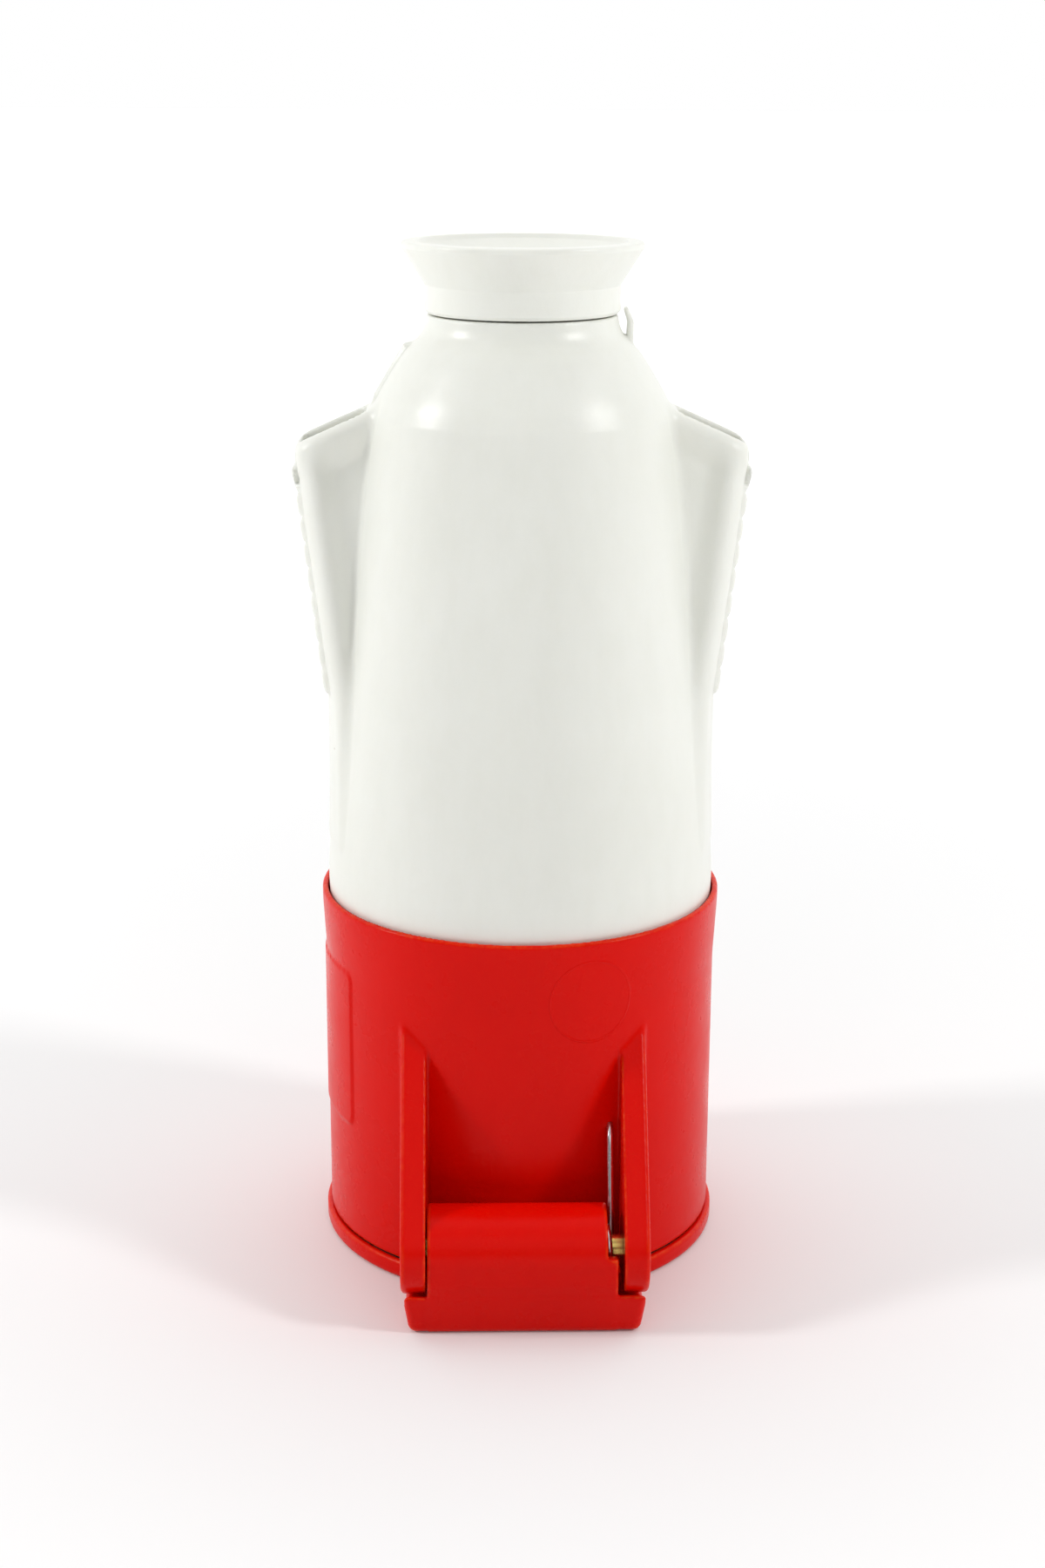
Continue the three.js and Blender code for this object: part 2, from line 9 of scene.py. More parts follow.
import bmesh
import bpy
import numpy as np
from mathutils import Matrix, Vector


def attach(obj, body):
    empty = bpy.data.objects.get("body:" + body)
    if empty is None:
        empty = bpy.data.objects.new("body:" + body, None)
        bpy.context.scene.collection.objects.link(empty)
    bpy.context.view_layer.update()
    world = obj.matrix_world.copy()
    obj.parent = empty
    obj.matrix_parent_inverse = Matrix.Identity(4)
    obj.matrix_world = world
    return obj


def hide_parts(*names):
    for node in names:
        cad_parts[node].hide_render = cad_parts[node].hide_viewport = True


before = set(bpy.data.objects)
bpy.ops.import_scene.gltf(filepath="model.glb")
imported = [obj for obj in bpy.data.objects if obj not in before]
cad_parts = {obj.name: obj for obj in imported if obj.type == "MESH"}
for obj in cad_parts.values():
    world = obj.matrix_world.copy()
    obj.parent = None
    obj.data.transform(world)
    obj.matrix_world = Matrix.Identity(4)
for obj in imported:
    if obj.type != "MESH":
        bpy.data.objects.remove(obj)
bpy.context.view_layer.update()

MM = 0.001

# Driving sizes shared by several pieces, in mm, and angles in degrees.
SHROUD_RADIUS = 36
PITCH_CIRCLE = 17  # radius on which the contacts stand
FLANGE_CIRCLE = 28.2  # radius on which the insert's screws stand
LUG_PLACES = (30, 150, 270)  # angles of the bayonet's lugs and of those screws
BAYONET_TURN = 40
TERMINAL_HEIGHT = 55
HINGE = (-44.2, 13.9)  # y and z of the hinge pin

# ---------------------------------------------------------------- camera

camera = bpy.data.objects.new("camera", bpy.data.cameras.new("camera"))
camera.data.sensor_fit = "VERTICAL"
camera.data.sensor_height = 36
camera.data.lens = 55.92
camera.data.clip_start = 0.01
camera.data.clip_end = 20
camera.location = (-0.0098, -0.4294, 0.2118)
camera.rotation_euler = (math.radians(73.57), math.radians(-0.24), math.radians(-1.284))
bpy.context.scene.collection.objects.link(camera)
bpy.context.scene.camera = camera

# ---------------------------------------------------------------- distance fields


def both(a, b, radius=0.0):
    """Intersection of two fields, its edge rounded to a radius."""
    if np.isscalar(radius) and radius == 0:
        return np.maximum(a, b)
    corner = np.hypot(np.maximum(a + radius, 0), np.maximum(b + radius, 0))
    return np.minimum(np.maximum(a, b), -radius) + corner


def either(a, b, radius=0.0):
    """Union of two fields with a fillet between them."""
    return -both(-a, -b, radius)


def less(a, b, radius=0.0):
    """The first field with the second cut out of it."""
    return both(a, -b, radius)


def ramp(value, start, end):
    """0 before start, 1 after end, smooth between them."""
    t = np.clip((value - start) / (end - start), 0, 1)
    return t * t * (3 - 2 * t)


def faced(x, y, degrees):
    """Distances out along a direction in the plan and across it."""
    a = math.radians(degrees)
    return x * math.cos(a) + y * math.sin(a), y * math.cos(a) - x * math.sin(a)


def from_flange_screw(x, y, degrees):
    """Distance in the plan from the axis of one of the insert's screws."""
    a = math.radians(degrees)
    return np.hypot(x - FLANGE_CIRCLE * math.cos(a), y - FLANGE_CIRCLE * math.sin(a))


def slab(value, low, high):
    """Field of the space between two planes."""
    return np.abs(value - (low + high) / 2) - (high - low) / 2


def ball(x, y, z, centre, radius):
    return np.sqrt((x - centre[0]) ** 2 + (y - centre[1]) ** 2 + (z - centre[2]) ** 2) - radius


def capsule(x, y, z, start, end, radius):
    """Field of a rod with round ends."""
    start, end = np.array(start, float), np.array(end, float)
    along = end - start
    dx, dy, dz = x - start[0], y - start[1], z - start[2]
    t = np.clip((dx * along[0] + dy * along[1] + dz * along[2]) / (along @ along), 0, 1)
    return np.sqrt((dx - along[0] * t) ** 2 + (dy - along[1] * t) ** 2 + (dz - along[2] * t) ** 2) - radius


def filleted(points, steps=5):
    """A closed outline of (a, b) or (a, b, radius) points: a corner with a radius becomes an arc."""
    outline = []
    for i, point in enumerate(points):
        here = Vector(point[:2])
        if len(point) < 3:
            outline.append(tuple(here))
            continue
        back = Vector(points[i - 1][:2]) - here
        on = Vector(points[(i + 1) % len(points)][:2]) - here
        half = back.angle(on) / 2
        reach = min(point[2] / math.tan(half), 0.48 * back.length, 0.48 * on.length)
        radius = reach * math.tan(half)
        centre = here + (back.normalized() + on.normalized()).normalized() * (radius / math.sin(half))
        first = here + back.normalized() * reach - centre
        last = here + on.normalized() * reach - centre
        for step in range(steps + 1):
            turned = first.lerp(last, step / steps).normalized() * radius
            outline.append(tuple(centre + turned))
    return outline


def curved(points, steps=5):
    """A smooth open curve through points (Catmull-Rom)."""
    knots = [np.array(p, float) for p in points]
    knots = [2 * knots[0] - knots[1], *knots, 2 * knots[-1] - knots[-2]]
    curve = []
    for a, b, c, d in zip(knots, knots[1:], knots[2:], knots[3:]):
        scale = np.linalg.norm(c - b)
        out_b = (c - a) * scale / max(np.linalg.norm(c - b) + np.linalg.norm(b - a), 1e-6)
        in_c = (d - b) * scale / max(np.linalg.norm(c - b) + np.linalg.norm(d - c), 1e-6)
        for step in range(steps):
            t = step / steps
            h = (2 * t**3 - 3 * t**2 + 1, t**3 - 2 * t**2 + t, -2 * t**3 + 3 * t**2, t**3 - t**2)
            curve.append(tuple(h[0] * b + h[1] * out_b + h[2] * c + h[3] * in_c))
    curve.append(tuple(knots[-2]))
    return curve


def arc(centre, radius, start, end, steps):
    """Points on an arc, angles in degrees."""
    angles = [math.radians(start + (end - start) * i / steps) for i in range(steps + 1)]
    return [(centre[0] + radius * math.cos(a), centre[1] + radius * math.sin(a)) for a in angles]


class Outline:
    """Signed distance to a closed outline, tabulated so that it is quick to look up."""

    def __init__(self, points, step=0.15, margin=3.0):
        points = np.array(points, np.float64)
        self.step = step
        self.low = points.min(0) - margin
        self.count = np.ceil((points.max(0) + margin - self.low) / step).astype(int) + 1
        u = self.low[0] + step * np.arange(self.count[0])[:, None]
        v = self.low[1] + step * np.arange(self.count[1])[None, :]
        nearest = np.full(self.count, np.inf)
        outside = np.ones(self.count)
        for a, b in zip(points, np.roll(points, -1, axis=0)):
            edge = b - a
            length = edge @ edge
            if length < 1e-12:
                continue
            wu, wv = u - a[0], v - a[1]
            t = np.clip((wu * edge[0] + wv * edge[1]) / length, 0, 1)
            nearest = np.minimum(nearest, (wu - edge[0] * t) ** 2 + (wv - edge[1] * t) ** 2)
            above, below = v >= a[1], v < b[1]
            left = edge[0] * wv > edge[1] * wu
            crosses = (above & below & left) | (~above & ~below & ~left)
            outside = np.where(crosses, -outside, outside)
        self.table = (np.sqrt(nearest) * outside).astype(np.float32)

    def __call__(self, u, v):
        u, v = np.broadcast_arrays(u, v)
        place_u = (u - self.low[0]) / self.step
        place_v = (v - self.low[1]) / self.step
        clear_u = np.clip(place_u, 0, self.count[0] - 1.001)
        clear_v = np.clip(place_v, 0, self.count[1] - 1.001)
        beyond = np.hypot(place_u - clear_u, place_v - clear_v) * self.step
        i, j = clear_u.astype(np.int32), clear_v.astype(np.int32)
        s, t = clear_u - i, clear_v - j
        table = self.table
        near = table[i, j] * (1 - t) + table[i, j + 1] * t
        far = table[i + 1, j] * (1 - t) + table[i + 1, j + 1] * t
        return near * (1 - s) + far * s + beyond


# ---------------------------------------------------------------- meshes


def mesh_object(name, vertices, faces, corners=4):
    """A smooth object from arrays of vertices in millimetres and faces."""
    mesh = bpy.data.meshes.new(name)
    faces = np.asarray(faces, np.int32).reshape(-1, corners)
    mesh.vertices.add(len(vertices))
    mesh.vertices.foreach_set("co", (np.asarray(vertices, np.float32) * MM).ravel())
    mesh.loops.add(faces.size)
    mesh.loops.foreach_set("vertex_index", faces.ravel())
    mesh.polygons.add(len(faces))
    mesh.polygons.foreach_set("loop_start", np.arange(len(faces), dtype=np.int32) * corners)
    mesh.polygons.foreach_set("loop_total", np.full(len(faces), corners, np.int32))
    mesh.update(calc_edges=True)
    mesh.validate()
    mesh.shade_smooth()
    obj = bpy.data.objects.new(name, mesh)
    bpy.context.scene.collection.objects.link(obj)
    return obj


def netted(name, field, low, high, step):
    """The surface where a field is zero, as a closed mesh of even quads."""
    low, high = np.array(low, np.float32), np.array(high, np.float32)
    counts = np.ceil((high - low) / step).astype(int) + 1
    axes = [(low[i] + step * np.arange(counts[i])).astype(np.float32) for i in range(3)]
    depth = field(*np.meshgrid(*axes, indexing="ij", copy=False)).astype(np.float32)
    cells = tuple(counts - 1)
    total = np.zeros(cells + (3,), np.float32)
    hits = np.zeros(cells, np.float32)
    edges = []
    for axis in range(3):
        second, third = (axis + 1) % 3, (axis + 2) % 3
        start = np.moveaxis(depth, (axis, second, third), (0, 1, 2))
        start, end = start[:-1], start[1:]
        crossed = (start < 0) != (end < 0)
        share = np.where(crossed, start / np.where(crossed, start - end, 1), 0)
        edges.append((crossed, start < 0))
        sums = np.moveaxis(total, (axis, second, third), (0, 1, 2))
        number = np.moveaxis(hits, (axis, second, third), (0, 1, 2))
        for p in (0, 1):
            for q in (0, 1):
                window = (slice(None), slice(p, p + number.shape[1]), slice(q, q + number.shape[2]))
                there = crossed[window]
                number += there
                sums[..., axis] += share[window]
                sums[..., second] += there * p
                sums[..., third] += there * q
    used = hits > 0
    index = np.full(cells, -1, np.int32)
    index[used] = np.arange(used.sum())
    points = low + step * (np.argwhere(used) + total[used] / hits[used][:, None])
    quads = []
    for axis, (crossed, solid) in enumerate(edges):
        second, third = (axis + 1) % 3, (axis + 2) % 3
        cell = np.moveaxis(index, (axis, second, third), (0, 1, 2))
        i, j, k = np.nonzero(crossed[:, 1:-1, 1:-1])
        outward = solid[:, 1:-1, 1:-1][i, j, k]
        quad = np.stack([cell[i, j, k], cell[i, j + 1, k], cell[i, j + 1, k + 1], cell[i, j, k + 1]], 1)
        quads.append(np.where(outward[:, None], quad, quad[:, ::-1]))
    points = points.astype(np.float64)

    def slope(at, reach):
        parts = []
        for axis in range(3):
            shift = np.zeros(3)
            shift[axis] = reach
            parts.append((field(*(at + shift).T) - field(*(at - shift).T)) / (2 * reach))
        return np.stack(parts, 1)

    for _ in range(3):
        normal = slope(points, 0.08)
        size = np.maximum(np.linalg.norm(normal, axis=1, keepdims=True), 0.3)
        move = -field(*points.T)[:, None] * normal / size**2
        length = np.linalg.norm(move, axis=1, keepdims=True)
        points += move * np.minimum(1, 0.5 * step / np.maximum(length, 1e-9))
    obj = mesh_object(name, points, np.concatenate(quads))
    # How sharply the surface turns, for wear and painted highlight on edges and painted shade in corners.
    normal = slope(points, 0.3)
    normal /= np.maximum(np.linalg.norm(normal, axis=1, keepdims=True), 1e-6)
    side = np.cross(normal, np.where(np.abs(normal[:, 2:]) < 0.8, [[0, 0, 1.0]], [[1.0, 0, 0]]))
    side /= np.maximum(np.linalg.norm(side, axis=1, keepdims=True), 1e-6)
    other = np.cross(normal, side)
    bend = sum(field(*(points + way * 0.7).T) for way in (side, -side, other, -other)) / 4
    layer = obj.data.attributes.new("edge", "FLOAT", "POINT")
    layer.data.foreach_set("value", np.clip(bend / 0.22, -1, 1).astype(np.float32))
    return obj


def lathed(name, outline, segments=160, wobble=None):
    """A closed (radius, z) outline turned about the axis."""
    ring = np.array(outline)
    if np.sum(ring[:, 0] * np.roll(ring[:, 1], -1) - np.roll(ring[:, 0], -1) * ring[:, 1]) < 0:
        ring = ring[::-1]
    count = len(ring)
    angles = np.linspace(0, 2 * np.pi, segments, endpoint=False)
    vertices = np.stack(
        [
            np.outer(np.cos(angles), ring[:, 0]),
            np.outer(np.sin(angles), ring[:, 0]),
            np.outer(np.ones(segments), ring[:, 1]),
        ],
        -1,
    )
    if wobble:
        vertices = wobble(vertices)
    i, j = np.meshgrid(np.arange(segments), np.arange(count), indexing="ij")
    on, up = (i + 1) % segments, (j + 1) % count
    faces = np.stack([i * count + j, on * count + j, on * count + up, i * count + up], -1)
    return mesh_object(name, vertices.reshape(-1, 3), faces.reshape(-1, 4))


def sharpened(obj, degrees=32):
    """Smooth shading that keeps edges sharper than an angle."""
    obj.data.set_sharp_from_angle(angle=math.radians(degrees))
    return obj


def wire(name, path, radius, sides=14):
    """A round wire along a path of points, with domed ends."""
    path = np.array(path, float)
    step = np.linalg.norm(np.diff(path, axis=0), axis=1)
    tangent = np.gradient(path, axis=0)
    tangent /= np.linalg.norm(tangent, axis=1, keepdims=True)
    up = np.cross(tangent[0], [0.3, 0.2, 0.9])
    up /= np.linalg.norm(up)
    frames = []
    for t in tangent:
        up = up - t * (up @ t)
        up /= np.linalg.norm(up)
        frames.append((up, np.cross(t, up)))
    rings = [(path[0] - tangent[0] * radius * 0.85, 0.35, 0), (path[0] - tangent[0] * radius * 0.5, 0.8, 0)]
    rings += [(p, 1.0, i) for i, p in enumerate(path)]
    last = len(path) - 1
    rings += [
        (path[-1] + tangent[-1] * radius * 0.5, 0.8, last),
        (path[-1] + tangent[-1] * radius * 0.85, 0.35, last),
    ]
    angles = np.linspace(0, 2 * np.pi, sides, endpoint=False)
    vertices = []
    for centre, share, at in rings:
        a, b = frames[at]
        vertices += [centre + radius * share * (a * math.cos(v) + b * math.sin(v)) for v in angles]
    faces = []
    for i in range(len(rings) - 1):
        for j in range(sides):
            k = (j + 1) % sides
            faces.append([i * sides + j, i * sides + k, (i + 1) * sides + k, (i + 1) * sides + j])
    obj = mesh_object(name, vertices, faces)
    work = bmesh.new()
    work.from_mesh(obj.data)
    bmesh.ops.holes_fill(work, edges=[e for e in work.edges if e.is_boundary], sides=sides)
    bmesh.ops.recalc_face_normals(work, faces=work.faces)
    work.to_mesh(obj.data)
    work.free()
    obj.data.shade_smooth()
    return obj


# ---------------------------------------------------------------- materials


def linear(colour):
    """An sRGB colour of 0 to 255 as linear RGBA."""
    parts = [c / 255 for c in colour]
    return tuple(c / 12.92 if c <= 0.04045 else ((c + 0.055) / 1.055) ** 2.4 for c in parts) + (1.0,)


class Finish:
    """A node material under construction, with the few kinds of node used here."""

    def __init__(self, name):
        self.material = bpy.data.materials.new(name)
        self.material.use_nodes = True
        self.tree = self.material.node_tree
        self.shader = self.tree.nodes["Principled BSDF"]
        self.place = self.node("ShaderNodeTexCoord").outputs["Object"]

    def node(self, kind, inputs=(), **settings):
        node = self.tree.nodes.new(kind)
        for key, value in settings.items():
            setattr(node, key, value)
        for key, value in dict(inputs).items():
            self.put(node.inputs[key], value)
        return node

    def put(self, socket, value):
        if isinstance(value, bpy.types.NodeSocket):
            self.tree.links.new(value, socket)
        else:
            socket.default_value = value

    def noise(self, scale, detail=3.0, roughness=0.5, stretch=None):
        place = self.place
        if stretch:
            place = self.node("ShaderNodeMapping", {"Vector": place, "Scale": stretch}).outputs[0]
        inputs = {"Vector": place, "Scale": scale, "Detail": detail, "Roughness": roughness}
        return self.node("ShaderNodeTexNoise", inputs).outputs["Fac"]

    def band(self, value, low, high, start=0.0, end=1.0):
        """Maps low..high of a value to start..end, held beyond them."""
        inputs = {"Value": value, "From Min": low, "From Max": high, "To Min": start, "To Max": end}
        return self.node("ShaderNodeMapRange", inputs, clamp=True).outputs[0]

    def math(self, operation, a, b=0.0):
        return self.node("ShaderNodeMath", {0: a, 1: b}, operation=operation).outputs[0]

    def mix(self, share, a, b):
        node = self.node("ShaderNodeMix", data_type="RGBA")
        self.put(node.inputs[0], share)
        self.put(node.inputs[6], a)
        self.put(node.inputs[7], b)
        return node.outputs[2]

    def specks(self, scale, size, rarity):
        """Small round dots, in a few of the cells of a Voronoi pattern."""
        voronoi = self.node("ShaderNodeTexVoronoi", {"Vector": self.place, "Scale": scale})
        dot = self.band(voronoi.outputs["Distance"], size, size * 0.6)
        parts = self.node("ShaderNodeSeparateColor", {"Color": voronoi.outputs["Color"]})
        return self.math("MULTIPLY", dot, self.band(parts.outputs[0], 1 - rarity, 1 - rarity + 0.01))

    def bump(self, height, distance, normal=None):
        inputs = {"Height": height, "Distance": distance, "Strength": 1.0}
        if normal:
            inputs["Normal"] = normal
        return self.node("ShaderNodeBump", inputs).outputs[0]

    def apply(self, **values):
        for key, value in values.items():
            self.put(self.shader.inputs[key.replace("_", " ")], value)
        return self.material


def marks(finish, spots):
    """A height of 1 on plain dashes and rings laid out on the shroud's wall, 0 elsewhere.

    Each spot is (angle about the axis in degrees, z, half width, half height, line) in mm; a line
    of 0 fills the shape, else it is a ring of that line's half width.
    """
    axis = finish.node("ShaderNodeSeparateXYZ", {"Vector": finish.place})
    angle = finish.math("ARCTAN2", axis.outputs[1], axis.outputs[0])
    height = None
    for degrees, z, half_width, half_height, line in spots:
        along = finish.math("SUBTRACT", angle, math.radians(degrees))
        along = finish.math("MULTIPLY", along, SHROUD_RADIUS * MM)
        up = finish.math("SUBTRACT", axis.outputs[2], z * MM)
        if line:
            across_squared = finish.math("MULTIPLY", along, along)
            squares = finish.math("ADD", across_squared, finish.math("MULTIPLY", up, up))
            off = finish.math("SUBTRACT", finish.math("POWER", squares, 0.5), half_width * MM)
            shape = finish.band(finish.math("ABSOLUTE", off), (line + 0.12) * MM, line * MM)
        else:
            wide = finish.math("SUBTRACT", finish.math("ABSOLUTE", along), half_width * MM)
            tall = finish.math("SUBTRACT", finish.math("ABSOLUTE", up), half_height * MM)
            shape = finish.band(finish.math("MAXIMUM", wide, tall), 0.15 * MM, 0.0)
        height = shape if height is None else finish.math("MAXIMUM", height, shape)
    return height


def plastic(name, colour, shade, wear_and_highlight, roughness, sheen=0.5, grain=0.02, dots=0.0, raised=(), glow=0.0):
    """Moulded plastic: faint flow mottling, orange-peel skin, scuffs, specks, rubbed edges lightened partly
    as painted highlight, and painted shade in creases.
    """
    finish = Finish(name)
    cloud = finish.noise(38, 4, 0.55)
    flow = finish.noise(300, 3, 0.6, (1, 1, 0.35))
    fine = finish.noise(2600, 2, 0.6)
    mottled = finish.mix(finish.band(cloud, 0.35, 0.68, 0.0, 0.3), linear(colour), linear(shade))
    mottled = finish.mix(finish.band(flow, 0.4, 0.75, 0.0, 0.22), mottled, linear(shade))
    mottled = finish.mix(finish.band(fine, 0.5, 0.75, 0.0, 0.07), mottled, linear(wear_and_highlight))
    edge = finish.node("ShaderNodeAttribute", attribute_name="edge").outputs["Fac"]
    broken = finish.band(finish.noise(700, 4, 0.7), 0.42, 0.62, 0.1, 0.75)
    # Convex edges lightened towards the third colour: rubbed wear, and also painted highlight along the
    # edges.
    rubbed_and_highlit = finish.math("MULTIPLY", finish.band(edge, 0.35, 0.9), broken)
    tint = finish.mix(rubbed_and_highlit, mottled, linear(wear_and_highlight))
    # Painted shade: concave corners and creases darkened towards a dark copy of the shade colour.
    crease_shade = finish.band(edge, -0.25, -0.9, 0.0, 0.22)
    crease_shade_colour = tuple(c * 0.55 for c in linear(shade)[:3]) + (1.0,)
    tint = finish.mix(crease_shade, tint, crease_shade_colour)
    if dots:
        brown = tuple(c * 0.35 for c in linear((200, 160, 90))[:3]) + (1.0,)
        tint = finish.mix(finish.math("MULTIPLY", finish.specks(150, 0.045, dots), 0.7), tint, brown)
    scuff = finish.band(finish.noise(420, 5, 0.75, (0.25, 1.6, 1)), 0.6, 0.72)
    polish = finish.band(finish.noise(95, 4, 0.6), 0.3, 0.7, roughness - 0.05, roughness + 0.07)
    rough = finish.math("ADD", polish, finish.math("MULTIPLY", scuff, 0.04))
    normal = finish.bump(fine, grain * MM)
    normal = finish.bump(finish.noise(620, 2, 0.5), grain * 2.2 * MM, normal)
    if raised:
        normal = finish.bump(marks(finish, raised), 0.05 * MM, normal)
    values = {"Base_Color": tint, "Roughness": rough, "Normal": normal, "Specular_IOR_Level": sheen}
    if glow:
        values["Subsurface_Weight"] = glow
        values["Subsurface_Radius"] = (1.0, 0.9, 0.75)
        values["Subsurface_Scale"] = 1.6 * MM
    return finish.apply(**values)


def metal(name, colour, tarnish, roughness, stretch=(1, 1, 1)):
    """Drawn or turned metal: fine tool lines, uneven polish and a little tarnish."""
    finish = Finish(name)
    lines = finish.noise(3200, 3, 0.7, stretch)
    patch = finish.noise(190, 4, 0.6)
    tint = finish.mix(finish.band(patch, 0.45, 0.75, 0.0, 0.6), linear(colour), linear(tarnish))
    polish = finish.band(patch, 0.3, 0.7, roughness - 0.05, roughness + 0.08)
    rough = finish.math("ADD", polish, finish.band(lines, 0.4, 0.8, 0.0, 0.08))
    normal = finish.bump(lines, 0.006 * MM)
    return finish.apply(Base_Color=tint, Roughness=rough, Normal=normal, Metallic=1.0)


def rubber(name, colour):
    """Dull moulded rubber with a bloom of dust."""
    finish = Finish(name)
    dust = finish.noise(260, 5, 0.7)
    pale = tuple(min(1.0, c * 3.2 + 0.01) for c in linear(colour)[:3]) + (1.0,)
    tint = finish.mix(finish.band(dust, 0.5, 0.8, 0.0, 0.35), linear(colour), pale)
    rough = finish.band(dust, 0.3, 0.7, 0.72, 0.9)
    normal = finish.bump(finish.noise(1500, 3, 0.6), 0.03 * MM)
    return finish.apply(Base_Color=tint, Roughness=rough, Normal=normal)


# The third colour of each plastic lightens convex edges, as wear and as painted highlight.
WHITE = plastic(
    "white_plastic", (237, 238, 231), (226, 227, 217), (245, 245, 240), 0.34,
    grain=0.012, dots=0.02, glow=0.12,
)
# Plain dashes in place of writing on the label panel, and a plain ring on the wall.
DASHES = [(198, 46, 2.6, 0.35, 0), (198, 43.5, 3.8, 0.35, 0), (199, 36.2, 2.2, 0.35, 0)]
RING = (-71, 55.7, 7.5, 7.5, 0.12)
RED = plastic(
    "red_plastic", (222, 8, 0), (210, 5, 0), (232, 72, 16), 0.28,
    sheen=0.1, grain=0.014, raised=[RING, *DASHES],
)
BLACK = plastic("black_plastic", (26, 26, 28), (19, 19, 20), (58, 58, 60), 0.46, grain=0.03)
NATURAL = plastic("natural_plastic", (219, 215, 200), (203, 198, 180), (232, 229, 218), 0.45, glow=0.15)
RUBBER = rubber("black_rubber", (30, 30, 32))
CONTACT_BRASS = metal("contact_brass", (214, 178, 96), (168, 128, 62), 0.26, (1, 1, 8))
PIN_BRASS = metal("pin_brass", (232, 208, 122), (200, 168, 88), 0.22, (8, 1, 1))
SPRING_STEEL = metal("spring_steel", (226, 228, 232), (170, 172, 178), 0.2, (1, 1, 6))
PLATED_STEEL = metal("plated_steel", (214, 216, 218), (182, 184, 178), 0.27)


def finished(obj, material, slot, body, *nodes):
    """Gives a piece its material and its body, and hides the CAD nodes that it stands for; the slot
    argument is not used.
    """
    obj.data.materials.clear()
    obj.data.materials.append(material)
    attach(obj, body)
    if nodes:
        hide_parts(*nodes)
    return obj


# ---------------------------------------------------------------- handle housing

SKIN = [
    (35.2, 63.6), (35.3, 72), (32.7, 102), (29.2, 134), (27.1, 149), (26.5, 153.2), (25.3, 156.4),
    (23, 160.4), (20.7, 163.9), (19.1, 165.6), (17.6, 167.2), (16.9, 168.9), (16.7, 170.4),
]
CAVITY = [
    (-9, 49), (31.2, 49), (31.2, 65.6), (32.7, 72), (30.2, 102), (26.7, 134), (24.6, 149),
    (23.4, 154.5, 2), (18.6, 162.6, 1), (16, 164, 1), (9.8, 164.6), (9.8, 166.5), (11.5, 166.5),
    (11.5, 178), (-9, 178),
]


def wing_edge(z):
    return 34.9 + np.maximum(0, z - 104) * 0.12 + 0.6 * np.clip((z - 142) / 4, 0, 1)


def wing_top(x):
    return 152.9 - (x - 30) * 0.456


def up_wing(z):
    return np.clip((z - 76) / 76.9, 0, 1)


def wing_half(z):
    """Half the thickness of a wing: broad and flush at its foot, a slim blade at its top."""
    return 14 - 7.2 * up_wing(z) ** 1.7


